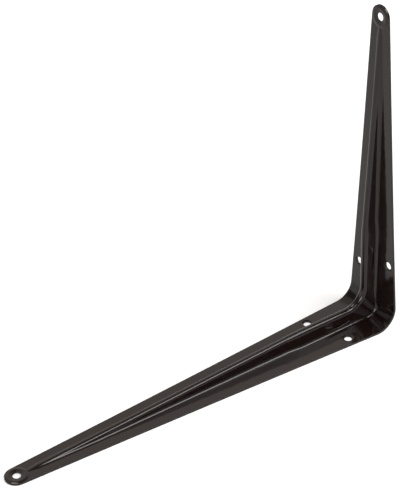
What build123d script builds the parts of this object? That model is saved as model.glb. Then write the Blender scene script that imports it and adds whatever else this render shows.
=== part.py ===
from build123d import *
import math
import os

# Pressed steel shelf bracket, one sheet, two tapered arms and one stiffening bead.
# The long arm lies along X, the short arm stands up along Z, the width runs along Y.
# While it is built, the inner faces of the two arms are the planes z = 0 and x = 0.

# Overall sizes in millimetres
long_arm = 250.0
short_arm = 200.0
sheet = 1.2
corner_width = 39.4
tip_radius = 6.75
edge_draw_in = 0.3

# Bend between the arms: rounder at the two edges than beside the bead
bend_radius_edge = 11.5
bend_radius_bead = 7.2

# Bead: height above the inner faces
bead_long_height = 9.4
bead_short_height = 8.7
bead_long_shoulder = 8.9
bead_short_shoulder = 8.2
bead_ramp_height = 0.85
bead_end_height = 0.12
shoulder_station = 66.0
shoulder_length = 9.0
ramp_length = 7.0
ramp_overlap = 1.1

# Bead: round of its crest, small flat on top, slope of its walls, round at its foot
arm_crest_radius = 1.9
arm_wall_slope = 2.0
corner_crest_radius = 2.4
corner_wall_slope = 8.0
crest_flat = 0.2
foot_radius = 2.1
crest_bend_radius = 11.5
bead_half_width = 4.0

# Raised ring at each tip, dished on both faces towards its screw hole
tip_hole_radius = 2.3
ring_radius = 4.8
ring_rise = 0.35
ring_reach = 6.5
ring_round = 1.2
hole_edge_level = -0.1
hole_edge_thickness = 0.4

# Screw holes beside the bead
corner_hole_radius = 2.4
corner_sink_radius = 3.4
corner_sink_depth = 0.3
near_hole_station = 29.7
far_hole_station = 39.8
hole_edge_distance = 6.9
hole_offset = corner_width / 2 - hole_edge_distance

# Working room round the finished shape
margin = 3.0
core_depth = crest_bend_radius + margin
half_blank = corner_width / 2 + margin
tip_long = long_arm - sheet - tip_radius
tip_short = short_arm - sheet - tip_radius


def section_shape(height, crest, slope):
    """Half section of the bead's inner face: centres of both rounds and the wall's slope."""
    reach = crest + foot_radius
    least = 0.15
    size = math.hypot(reach, least)
    lean = math.atan2(least, reach) + math.asin(min(1.0, max(-1.0, (reach - height) / size)))
    lean = max(math.radians(slope), lean)
    crest_y = crest_flat
    crest_e = height - crest
    foot_y = crest_flat + (reach - (foot_radius - crest_e) * math.sin(lean)) / math.cos(lean)
    return lean, crest_y, crest_e, foot_y


def face_edges(height, crest, slope, depth, place):
    """Edges of one face of the sheet across the bead, depth below the inner face."""
    lean, crest_y, crest_e, foot_y = section_shape(height, crest, slope)
    r1 = crest - depth
    r2 = foot_radius + depth

    def crest_point(angle):
        return (crest_y + r1 * math.cos(angle), crest_e + r1 * math.sin(angle))

    def foot_point(angle):
        return (foot_y - r2 * math.cos(angle), foot_radius - r2 * math.sin(angle))

    middle = (lean + math.pi / 2) / 2
    top = crest_point(math.pi / 2)
    shoulder = crest_point(middle)
    wall_top = crest_point(lean)
    wall_foot = foot_point(lean)
    hollow = foot_point(middle)
    flat = foot_point(math.pi / 2)
    rim = (half_blank, -depth)

    def put(point, side):
        return place(side * point[0], point[1])

    edges = [
        Edge.make_line(put(rim, -1), put(flat, -1)),
        Edge.make_three_point_arc(put(flat, -1), put(hollow, -1), put(wall_foot, -1)),
        Edge.make_line(put(wall_foot, -1), put(wall_top, -1)),
        Edge.make_three_point_arc(put(wall_top, -1), put(shoulder, -1), put(top, -1)),
        Edge.make_line(put(top, -1), put(top, 1)),
        Edge.make_three_point_arc(put(top, 1), put(shoulder, 1), put(wall_top, 1)),
        Edge.make_line(put(wall_top, 1), put(wall_foot, 1)),
        Edge.make_three_point_arc(put(wall_foot, 1), put(hollow, 1), put(flat, 1)),
        Edge.make_line(put(flat, 1), put(rim, 1)),
    ]
    return edges, put(rim, -1), put(rim, 1)


def sheet_section(height, crest, slope, place):
    """Closed section of the sheet across one arm."""
    front, front_low, front_high = face_edges(height, crest, slope, 0.0, place)
    back, back_low, back_high = face_edges(height, crest, slope, sheet, place)
    ends = [Edge.make_line(front_high, back_high), Edge.make_line(back_low, front_low)]
    return Wire(front + ends + back)


def arm_blank(place_at, start, tip, height, shoulder):
    """One arm with its bead, from the corner block to the tip, wider than its outline."""
    end = tip - ring_reach + ramp_overlap
    step_in = shoulder_station - shoulder_length
    fall = (shoulder - bead_ramp_height) / (end - ramp_length - shoulder_station)
    crest = arm_crest_radius
    slope = arm_wall_slope
    low = crest + foot_radius + 0.2
    stations = [
        (start, height, corner_crest_radius, corner_wall_slope),
        (step_in, height, corner_crest_radius, corner_wall_slope),
        (shoulder_station, shoulder, crest, slope),
    ]
    for level in (low, (low + bead_ramp_height) / 2, bead_ramp_height):
        stations.append((shoulder_station + (shoulder - level) / fall, level, crest, slope))
    stations.append((end, bead_end_height, crest, slope))
    parts = []
    for a, b in zip(stations[:-1], stations[1:]):
        wires = [sheet_section(s[1], s[2], s[3], place_at(s[0])) for s in (a, b)]
        parts.append(Solid.make_loft(wires, True))
    flat = Wire.make_polygon(
        [
            place_at(end)(-half_blank, 0),
            place_at(end)(half_blank, 0),
            place_at(end)(half_blank, -sheet),
            place_at(end)(-half_blank, -sheet),
        ]
    )
    along = Vector(*place_at(tip + tip_radius + margin)(0, 0)) - Vector(*place_at(end)(0, 0))
    parts.append(Solid.extrude(Face(flat), along))
    return parts


def on_long_arm(station):
    return lambda y, e: (station, y, e)


def on_short_arm(station):
    return lambda y, e: (e, y, station)


def corner_slice(y, x_line, z_line, radius, end_x, end_z, deep):
    """Side profile at one distance across the width: all that lies behind the inner face."""
    cx = x_line + radius
    cz = z_line + radius
    mid = radius * math.sqrt(0.5)
    edges = []
    if end_x - cx > 1e-6:
        edges.append(Edge.make_line((end_x, y, z_line), (cx, y, z_line)))
    edges.append(Edge.make_three_point_arc((cx, y, z_line), (cx - mid, y, cz - mid), (x_line, y, cz)))
    if end_z - cz > 1e-6:
        edges.append(Edge.make_line((x_line, y, cz), (x_line, y, end_z)))
    edges.append(Edge.make_line((x_line, y, end_z), (-deep, y, end_z)))
    edges.append(Edge.make_line((-deep, y, end_z), (-deep, y, -deep)))
    edges.append(Edge.make_line((-deep, y, -deep), (end_x, y, -deep)))
    edges.append(Edge.make_line((end_x, y, -deep), (end_x, y, z_line)))
    return Wire(edges)


def corner_die(depth, deep):
    """Everything behind one face of the sheet in the corner, depth below the inner face."""
    end_x = bead_short_height + crest_bend_radius
    end_z = bead_long_height + crest_bend_radius
    lean = math.radians(corner_wall_slope)
    crest = corner_crest_radius - depth
    top_y = crest_flat + crest * (1 - math.sin(lean)) / math.cos(lean)
    drop = deep + 2 * margin
    foot_y = top_y + drop * math.tan(lean)
    lift_x = bead_short_height - depth
    lift_z = bead_long_height - depth
    bend = crest_bend_radius + depth

    def web(y, lower):
        return corner_slice(y, lift_x - lower, lift_z - lower, bend + lower, end_x, end_z, deep)

    slices = [web(-foot_y, drop), web(-top_y, 0), web(top_y, 0), web(foot_y, drop)]
    bead = Solid.make_loft(slices, True)
    crest_edges = []
    for edge in bead.edges():
        p = edge.position_at(0.5)
        if abs(abs(p.Y) - top_y) < 1e-4 and min(p.X, p.Z) > bead_short_height / 2:
            crest_edges.append(edge)
    bead = bead.fillet(crest, crest_edges)

    spread = (bend_radius_edge - bend_radius_bead) / (corner_width / 2 - bead_half_width)
    middle_bend = bend_radius_bead - bead_half_width * spread
    outer_bend = middle_bend + half_blank * spread

    def flange(y, radius):
        return corner_slice(y, -depth, -depth, radius + depth, end_x, end_z, deep)

    slices = [flange(-half_blank, outer_bend), flange(0, middle_bend), flange(half_blank, outer_bend)]
    die = Solid.make_loft(slices, True).fuse(bead)
    foot_edges = []
    for edge in die.edges():
        p = edge.position_at(0.5)
        on_face = abs(p.Z + depth) < 1e-3 or abs(p.X + depth) < 1e-3
        in_bend = max(p.X, p.Z) < bend_radius_bead
        across = bead_half_width / 2 < abs(p.Y) < bead_half_width * 2
        beside_bead = across and min(p.X, p.Z) > -depth - 0.01
        if beside_bead and (on_face or in_bend):
            foot_edges.append(edge)
    return die.fillet(foot_radius + depth, foot_edges)


def arm_outline(length, tip):
    """Flat outline of one arm, from behind the bend to its round tip, along the first axis."""
    half = corner_width / 2
    start = bend_radius_edge
    reach = math.hypot(tip - start, half)
    turn = math.atan2(half, start - tip) - math.acos(tip_radius / reach)
    touch = (tip + tip_radius * math.cos(turn), tip_radius * math.sin(turn))
    middle = ((start + touch[0]) / 2, (half + touch[1]) / 2 - edge_draw_in)
    back = -sheet - margin
    end = (tip + tip_radius, 0)
    edges = [
        Edge.make_line((back, -half), (back, half)),
        Edge.make_line((back, half), (start, half)),
        Edge.make_three_point_arc((start, half), middle, touch),
        Edge.make_three_point_arc(touch, end, (touch[0], -touch[1])),
        Edge.make_three_point_arc((touch[0], -touch[1]), (middle[0], -middle[1]), (start, -half)),
        Edge.make_line((start, -half), (back, -half)),
    ]
    return Face(Wire(edges))


def tip_ring():
    """Raised ring round a tip's hole, dished inside, its axis on Z and the inner face at z = 0."""
    outer = ((ring_reach - ring_radius) ** 2 + ring_rise**2) / (2 * ring_rise)
    dish_x = ring_radius - tip_hole_radius
    dish_z = ring_rise - ring_round - hole_edge_level
    slope = math.atan2(dish_z, dish_x) + math.asin(ring_round / math.hypot(dish_x, dish_z))

    def outside(angle):
        return (ring_radius + outer * math.sin(angle), 0, ring_rise - outer + outer * math.cos(angle))

    def inside(angle):
        return (ring_radius - ring_round * math.sin(angle), 0, ring_rise - ring_round * (1 - math.cos(angle)))

    turn = math.asin((ring_reach - ring_radius) / outer)
    edges = [
        Edge.make_line((0, 0, -sheet / 2), (ring_reach, 0, -sheet / 2)),
        Edge.make_line((ring_reach, 0, -sheet / 2), outside(turn)),
        Edge.make_three_point_arc(outside(turn), outside(turn / 2), inside(0)),
        Edge.make_three_point_arc(inside(0), inside(slope / 2), inside(slope)),
        Edge.make_line(inside(slope), (tip_hole_radius, 0, hole_edge_level)),
        Edge.make_line((tip_hole_radius, 0, hole_edge_level), (0, 0, hole_edge_level)),
        Edge.make_line((0, 0, hole_edge_level), (0, 0, -sheet / 2)),
    ]
    return Solid.revolve(Face(Wire(edges)), 360, Axis.Z)


def ring_clearance():
    """Solid that clears the flat sheet from the dish, inside the ring's crest."""
    slope = (ring_rise - hole_edge_level) / (ring_radius - tip_hole_radius)
    brim = tip_hole_radius - hole_edge_level / slope
    edges = [
        Edge.make_line((0, 0, hole_edge_level), (tip_hole_radius, 0, hole_edge_level)),
        Edge.make_line((tip_hole_radius, 0, hole_edge_level), (brim, 0, 0)),
        Edge.make_line((brim, 0, 0), (0, 0, margin)),
        Edge.make_line((0, 0, margin), (0, 0, hole_edge_level)),
    ]
    return Solid.revolve(Face(Wire(edges)), 360, Axis.Z)


def tip_hole():
    """Solid to take away at a tip: the hole and the hollow that the dish leaves behind."""
    low = hole_edge_level - hole_edge_thickness
    edges = [
        Edge.make_line((0, 0, margin), (tip_hole_radius, 0, margin)),
        Edge.make_line((tip_hole_radius, 0, margin), (tip_hole_radius, 0, low)),
        Edge.make_line((tip_hole_radius, 0, low), (ring_radius, 0, -sheet)),
        Edge.make_line((ring_radius, 0, -sheet), (ring_radius, 0, -sheet - margin)),
        Edge.make_line((ring_radius, 0, -sheet - margin), (0, 0, -sheet - margin)),
        Edge.make_line((0, 0, -sheet - margin), (0, 0, margin)),
    ]
    return Solid.revolve(Face(Wire(edges)), 360, Axis.Z)


def sunk_hole(hole, sink, depth):
    """Solid to take away for one screw hole, its axis on Z and the inner face at z = 0."""
    widening = (sink - hole) / depth
    edges = [
        Edge.make_line((0, 0, -sheet - margin), (hole, 0, -sheet - margin)),
        Edge.make_line((hole, 0, -sheet - margin), (hole, 0, -depth)),
        Edge.make_line((hole, 0, -depth), (sink + margin * widening, 0, margin)),
        Edge.make_line((sink + margin * widening, 0, margin), (0, 0, margin)),
        Edge.make_line((0, 0, margin), (0, 0, -sheet - margin)),
    ]
    return Solid.revolve(Face(Wire(edges)), 360, Axis.Z)


# Sheet of the corner: what lies between the two faces
corner = corner_die(0.0, core_depth).cut(corner_die(sheet, core_depth + margin))

# Sheet of the two arms
start_long = bead_short_height + crest_bend_radius
start_short = bead_long_height + crest_bend_radius
arms = arm_blank(on_long_arm, start_long, tip_long, bead_long_height, bead_long_shoulder)
arms += arm_blank(on_short_arm, start_short, tip_short, bead_short_height, bead_short_shoulder)
blank = corner.fuse(*arms)

# Outline: each arm is trimmed by a prism that runs through the other arm's width untouched
to_short_arm = Plane(origin=(0, 0, 0), x_dir=(0, 0, 1), z_dir=(1, 0, 0))
tall = Solid.extrude(arm_outline(long_arm, tip_long).moved(Pos(0, 0, -margin)), (0, 0, short_arm + 2 * margin))
wide = Solid.extrude(arm_outline(short_arm, tip_short).moved(Pos(0, 0, -margin)), (0, 0, long_arm + 2 * margin))
wide = wide.moved(to_short_arm.location)
body = blank & tall & wide

# Rings and dishes at the tips
at_tips = [Pos(tip_long, 0, 0), to_short_arm.location * Pos(tip_short, 0, 0)]
for place in at_tips:
    body = body - ring_clearance().moved(place)
    body = body + tip_ring().moved(place)
    body = body - tip_hole().moved(place)

# Two small sunk holes on each arm, in step
near_hole = near_hole_station - sheet
far_hole = far_hole_station - sheet
corner_places = [
    Pos(near_hole, hole_offset, 0),
    Pos(far_hole, -hole_offset, 0),
    to_short_arm.location * Pos(near_hole, hole_offset, 0),
    to_short_arm.location * Pos(far_hole, -hole_offset, 0),
]
corner_hole = sunk_hole(corner_hole_radius, corner_sink_radius, corner_sink_depth)
for place in corner_places:
    body = body - corner_hole.moved(place)

# The bracket stands on the outer face of its long arm, centred on the middle of its base
bracket = body.moved(Pos(sheet - long_arm / 2, 0, sheet))
os.makedirs("parts", exist_ok=True)
bracket.label = "shelf_bracket"
export_step(bracket, "parts/shelf_bracket.step")
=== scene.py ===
"""Looks of the pressed steel shelf bracket: its stoved enamel, the studio and the camera."""

import logging
import math
from dataclasses import dataclass
from typing import Any

import bmesh
import bpy
from mathutils import Matrix, Vector

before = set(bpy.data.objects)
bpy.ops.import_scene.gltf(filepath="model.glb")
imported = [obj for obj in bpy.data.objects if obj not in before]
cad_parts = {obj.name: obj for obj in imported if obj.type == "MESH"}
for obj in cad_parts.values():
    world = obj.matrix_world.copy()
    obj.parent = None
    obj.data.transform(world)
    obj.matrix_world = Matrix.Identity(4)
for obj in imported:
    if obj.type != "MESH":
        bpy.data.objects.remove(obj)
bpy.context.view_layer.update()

MM = 0.001
WHITE = "ffffff"

# Input and output numbers of the Mix node when it mixes colours
MIX_FACTOR, MIX_FIRST, MIX_SECOND, MIX_RESULT = 0, 6, 7, 2

log = logging.getLogger("bracket")

Triple = tuple[float, float, float]


def linear(hex_colour: str) -> tuple[float, float, float, float]:
    """Turns an sRGB hex colour into linear light.

    Args:
        hex_colour: Six hex digits, such as "1d1917".

    Returns:
        Red, green, blue and an alpha of one.
    """
    out = []
    for i in (0, 2, 4):
        c = int(hex_colour[i : i + 2], 16) / 255
        out.append(c / 12.92 if c <= 0.04045 else ((c + 0.055) / 1.055) ** 2.4)
    return (out[0], out[1], out[2], 1.0)


def add_node(
    tree: bpy.types.NodeTree, kind: str, links: dict[int | str, Any] | None = None, **settings: Any
) -> bpy.types.Node:
    """Adds one node to a tree, with its settings and what comes into it.

    Args:
        tree: The node tree that gets the node.
        kind: The node's type name.
        links: Input name or number to a value, or to the output socket that feeds it.
        **settings: Properties of the node itself.

    Returns:
        The new node.
    """
    node = tree.nodes.new(kind)
    for name, value in settings.items():
        setattr(node, name, value)
    for name, value in (links or {}).items():
        if isinstance(value, bpy.types.NodeSocket):
            tree.links.new(value, node.inputs[name])
        else:
            node.inputs[name].default_value = value
    return node


def empty_tree(owner: bpy.types.Material | bpy.types.World) -> bpy.types.NodeTree:
    """Turns on the nodes of a material or world and clears them.

    Args:
        owner: The material or world.

    Returns:
        Its empty node tree.
    """
    owner.use_nodes = True
    owner.node_tree.nodes.clear()
    return owner.node_tree


def backdrop_rays(tree: bpy.types.NodeTree, mirrored_share: float) -> bpy.types.NodeSocket:
    """Tells how much of the white backdrop a ray sees.

    Args:
        tree: The node tree that gets the nodes.
        mirrored_share: The part that mirrored and transmitted rays see. Camera rays see all of it.

    Returns:
        The socket with the share, zero to one.
    """
    ray = add_node(tree, "ShaderNodeLightPath").outputs
    bent = add_node(
        tree,
        "ShaderNodeMath",
        {0: ray["Is Glossy Ray"], 1: ray["Is Transmission Ray"]},
        operation="MAXIMUM",
    )
    part = add_node(
        tree, "ShaderNodeMath", {0: bent.outputs[0], 1: mirrored_share}, operation="MULTIPLY"
    )
    seen = add_node(
        tree, "ShaderNodeMath", {0: part.outputs[0], 1: ray["Is Camera Ray"]}, operation="MAXIMUM"
    )
    return seen.outputs[0]


@dataclass(frozen=True)
class Relief:
    """One scale of unevenness in the skin of the paint."""

    width_mm: float
    depth_mm: float
    detail: float


@dataclass(frozen=True)
class StovedEnamel:
    """Black-brown enamel, dipped and then stoved on the pressed steel.

    It gives the eye a glassy, nearly black skin with sharp lines of light along every bend. The lines
    wander a little where the dip drained in waves, and look grained from the fine orange peel.
    """

    name: str = "stoved_enamel"
    # sRGB of the thick paint, and of the thinner and duller places
    colour: str = "140b09"
    worn_colour: str = "211613"
    roughness: float = 0.08
    roughness_spread: float = 0.07
    # a usual value for enamel paint
    ior: float = 1.5
    # waves of the draining dip, then the orange peel of the stoving
    reliefs: tuple[Relief, ...] = (Relief(6.0, 0.08, 1.0), Relief(1.8, 0.008, 2.0))
    # where the gloss is a little lower, and the noise levels between which it falls off
    patch_width_mm: float = 16.0
    patch_detail: float = 4.0
    patch_low: float = 0.35
    patch_high: float = 0.7
    # paint rounds a sheared edge over this radius
    edge_round_mm: float = 0.45
    edge_samples: int = 6

    def build(self) -> bpy.types.Material:
        """Makes the material.

        Returns:
            The enamel, ready for a material slot.
        """
        material = bpy.data.materials.new(self.name)
        tree = empty_tree(material)
        place = add_node(tree, "ShaderNodeTexCoord").outputs["Object"]
        patch = add_node(
            tree,
            "ShaderNodeTexNoise",
            {
                "Vector": place,
                "Scale": 1 / (self.patch_width_mm * MM),
                "Detail": self.patch_detail,
            },
        ).outputs[0]
        colour = add_node(
            tree,
            "ShaderNodeMix",
            {
                MIX_FACTOR: patch,
                MIX_FIRST: linear(self.colour),
                MIX_SECOND: linear(self.worn_colour),
            },
            data_type="RGBA",
        )
        gloss = add_node(
            tree,
            "ShaderNodeMapRange",
            {
                "Value": patch,
                "From Min": self.patch_low,
                "From Max": self.patch_high,
                "To Min": self.roughness,
                "To Max": self.roughness + self.roughness_spread,
            },
        )
        paint = add_node(
            tree,
            "ShaderNodeBsdfPrincipled",
            {
                "Base Color": colour.outputs[MIX_RESULT],
                "Roughness": gloss.outputs[0],
                "IOR": self.ior,
                "Normal": self.skin(tree, place),
            },
        )
        add_node(tree, "ShaderNodeOutputMaterial", {"Surface": paint.outputs[0]})
        return material

    def skin(
        self, tree: bpy.types.NodeTree, place: bpy.types.NodeSocket
    ) -> bpy.types.NodeSocket:
        """Makes the normals of the paint: rounded edges under the waves and the orange peel.

        Args:
            tree: The node tree that gets the nodes.
            place: The socket with the object coordinates.

        Returns:
            The socket with the normals.
        """
        normal = add_node(
            tree,
            "ShaderNodeBevel",
            {"Radius": self.edge_round_mm * MM},
            samples=self.edge_samples,
        ).outputs[0]
        for relief in self.reliefs:
            height = add_node(
                tree,
                "ShaderNodeTexNoise",
                {
                    "Vector": place,
                    "Scale": 1 / (relief.width_mm * MM),
                    "Detail": relief.detail,
                },
            )
            normal = add_node(
                tree,
                "ShaderNodeBump",
                {
                    "Height": height.outputs[0],
                    "Distance": relief.depth_mm * MM,
                    "Normal": normal,
                },
            ).outputs[0]
        return normal


@dataclass(frozen=True)
class Bracket:
    """The pressed sheet with its two arms, bead and holes, which keeps its CAD mesh."""

    node: str = "shelf_bracket"
    finish: StovedEnamel = StovedEnamel()

    def build(self) -> bpy.types.Object:
        """Paints the whole sheet.

        Returns:
            The bracket's object.
        """
        enamel = self.finish.build()
        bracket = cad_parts[self.node]
        for place in bracket.material_slots:
            place.material = enamel
        return bracket


@dataclass(frozen=True)
class StudioFloor:
    """Matt white paper, which looks evenly white and keeps the bracket's soft shadow."""

    name: str = "studio_paper"
    colour: str = "e6e6e6"
    half_width: float = 4.0
    # white of the paper to the camera, near the bracket and far from it
    near_glow: float = 0.46
    far_glow: float = 1.0
    near: float = 0.2
    far: float = 0.9
    mirrored_share: float = 0.2

    def build(self) -> bpy.types.Object:
        """Makes the floor plane with its paper.

        Returns:
            The floor's object.
        """
        mesh = bpy.data.meshes.new(self.name)
        shape = bmesh.new()
        bmesh.ops.create_grid(shape, x_segments=1, y_segments=1, size=self.half_width)
        shape.to_mesh(mesh)
        shape.free()
        mesh.materials.append(self.paper())
        floor = bpy.data.objects.new(self.name, mesh)
        bpy.context.scene.collection.objects.link(floor)
        return floor

    def paper(self) -> bpy.types.Material:
        """Makes the paper.

        Returns:
            The floor's material.
        """
        material = bpy.data.materials.new(self.name)
        tree = empty_tree(material)
        paper = add_node(tree, "ShaderNodeBsdfDiffuse", {"Color": linear(self.colour)})
        # the lamps fall off away from the bracket, so the paper's own white comes up there
        place = add_node(tree, "ShaderNodeTexCoord").outputs["Object"]
        reach = add_node(tree, "ShaderNodeVectorMath", {0: place}, operation="LENGTH")
        level = add_node(
            tree,
            "ShaderNodeMapRange",
            {
                "Value": reach.outputs["Value"],
                "From Min": self.near,
                "From Max": self.far,
                "To Min": self.near_glow,
                "To Max": self.far_glow,
            },
            interpolation_type="SMOOTHSTEP",
        )
        glow = add_node(
            tree, "ShaderNodeEmission", {"Color": linear(WHITE), "Strength": level.outputs[0]}
        )
        both = add_node(tree, "ShaderNodeAddShader", {0: paper.outputs[0], 1: glow.outputs[0]})
        seen = backdrop_rays(tree, self.mirrored_share)
        mix = add_node(
            tree, "ShaderNodeMixShader", {0: seen, 1: paper.outputs[0], 2: both.outputs[0]}
        )
        add_node(tree, "ShaderNodeOutputMaterial", {"Surface": mix.outputs[0]})
        return material


@dataclass(frozen=True)
class Softbox:
    """A soft rectangular lamp that faces the bracket from one direction, sizes in metres."""

    name: str
    toward: Triple
    distance: float
    width: float
    height: float
    radiance: float

    def build(self, centre: Vector) -> bpy.types.Object:
        """Makes the lamp.

        Args:
            centre: The point that the lamp faces.

        Returns:
            The lamp's object.
        """
        data = bpy.data.lights.new(self.name, "AREA")
        data.shape = "RECTANGLE"
        data.size = self.width
        data.size_y = self.height
        data.energy = math.pi * self.width * self.height * self.radiance
        lamp = bpy.data.objects.new(self.name, data)
        away = Vector(self.toward).normalized()
        lamp.location = centre + away * self.distance
        lamp.rotation_mode = "QUATERNION"
        lamp.rotation_quaternion = away.to_track_quat("Z", "Y")
        bpy.context.scene.collection.objects.link(lamp)
        return lamp


@dataclass(frozen=True)
class RoomGlow:
    """A soft pale patch of the room's walls, seen from the bracket."""

    toward: Triple
    inner_deg: float
    outer_deg: float
    level: float


@dataclass(frozen=True)
class Room:
    """The dim room round the studio, with paler places that the enamel mirrors."""

    name: str = "studio_room"
    colour: str = "fff4ea"
    level: float = 0.06
    mirrored_share: float = 0.11
    backdrop: float = 1.0
    # the wall behind, the ceiling towards that wall, and the wall beyond the long tip
    glows: tuple[RoomGlow, ...] = (
        RoomGlow((-0.457, -0.72, 0.44), 17.0, 34.0, 0.72),
        RoomGlow((0.12, -0.62, 0.78), 8.0, 28.0, 0.55),
        RoomGlow((0.98, -0.14, 0.04), 12.0, 30.0, 1.3),
    )

    def build(self) -> bpy.types.World:
        """Makes the world: white to the camera, a dim room with paler walls to what it lights.

        Returns:
            The world, set as the scene's.
        """
        world = bpy.data.worlds.new(self.name)
        tree = empty_tree(world)
        direction = add_node(tree, "ShaderNodeTexCoord").outputs["Generated"]
        level = self.level
        for glow in self.glows:
            along = add_node(
                tree,
                "ShaderNodeVectorMath",
                {0: direction, 1: Vector(glow.toward).normalized()},
                operation="DOT_PRODUCT",
            )
            part = add_node(
                tree,
                "ShaderNodeMapRange",
                {
                    "Value": along.outputs["Value"],
                    "From Min": math.cos(math.radians(glow.outer_deg)),
                    "From Max": math.cos(math.radians(glow.inner_deg)),
                    "To Min": 0.0,
                    "To Max": glow.level,
                },
                interpolation_type="SMOOTHSTEP",
            )
            level = add_node(
                tree, "ShaderNodeMath", {0: part.outputs[0], 1: level}, operation="ADD"
            ).outputs[0]
        room = add_node(
            tree, "ShaderNodeBackground", {"Color": linear(self.colour), "Strength": level}
        )
        white = add_node(
            tree, "ShaderNodeBackground", {"Color": linear(WHITE), "Strength": self.backdrop}
        )
        seen = backdrop_rays(tree, self.mirrored_share)
        mix = add_node(
            tree, "ShaderNodeMixShader", {0: seen, 1: room.outputs[0], 2: white.outputs[0]}
        )
        add_node(tree, "ShaderNodeOutputWorld", {"Surface": mix.outputs[0]})
        bpy.context.scene.world = world
        return world


@dataclass(frozen=True)
class Studio:
    """Floor, room and softboxes."""

    centre: Triple = (-0.05, 0.0, 0.04)
    floor: StudioFloor = StudioFloor()
    room: Room = Room()
    lamps: tuple[Softbox, ...] = (
        Softbox("key_box", (-0.46, 0.44, 0.80), 1.8, 1.5, 0.85, 5.1),
        Softbox("camera_box", (0.06, 0.69, 0.72), 1.8, 1.0, 0.6, 2.6),
        Softbox("front_box", (0.62, 0.69, 0.30), 1.8, 0.8, 0.7, 5.5),
        Softbox("ceiling_box", (0.14, -0.26, 0.95), 1.9, 0.6, 0.6, 4.5),
    )

    def build(self) -> None:
        """Makes the whole studio and reports its parts."""
        log.info("%s: floor", self.floor.build().name)
        log.info("%s: world", self.room.build().name)
        for box in self.lamps:
            log.info("%s: lamp", box.build(Vector(self.centre)).name)


@dataclass(frozen=True)
class PhotoCamera:
    """Camera that stands where the photograph was taken from.

    Angles are in degrees: azimuth from +X towards +Y, elevation above the floor, roll about the view.
    """

    name: str = "photo_camera"
    azimuth: float = 56.613
    elevation: float = 33.925
    roll: float = -2.445
    distance: float = 0.9808
    aim: Triple = (-0.05313, -0.07524, 0.03679)
    lens_mm: float = 121.31
    sensor_mm: float = 36.0

    def build(self) -> bpy.types.Object:
        """Makes the camera and sets it as the scene's.

        Returns:
            The camera's object.
        """
        a, e, r = (math.radians(v) for v in (self.azimuth, self.elevation, self.roll))
        back = Vector((math.cos(e) * math.cos(a), math.cos(e) * math.sin(a), math.sin(e)))
        level = Vector((-math.sin(a), math.cos(a), 0.0))
        upright = back.cross(level)
        right = level * math.cos(r) + upright * math.sin(r)
        up = back.cross(right)
        data = bpy.data.cameras.new(self.name)
        data.lens = self.lens_mm
        data.sensor_width = self.sensor_mm
        camera = bpy.data.objects.new(self.name, data)
        turn = Matrix((right, up, back)).transposed().to_4x4()
        camera.matrix_world = Matrix.Translation(Vector(self.aim) + back * self.distance) @ turn
        bpy.context.scene.collection.objects.link(camera)
        bpy.context.scene.camera = camera
        return camera


def main() -> None:
    """Paints the bracket, builds the studio round it and reports each piece."""
    logging.basicConfig(level=logging.INFO, format="%(name)s: %(message)s")
    bracket = Bracket().build()
    log.info("%s: %d triangles", bracket.name, len(bracket.data.polygons))
    Studio().build()
    log.info("%s: camera", PhotoCamera().build().name)
    bpy.context.scene.view_settings.view_transform = "Standard"


if __name__ == "__main__":
    main()
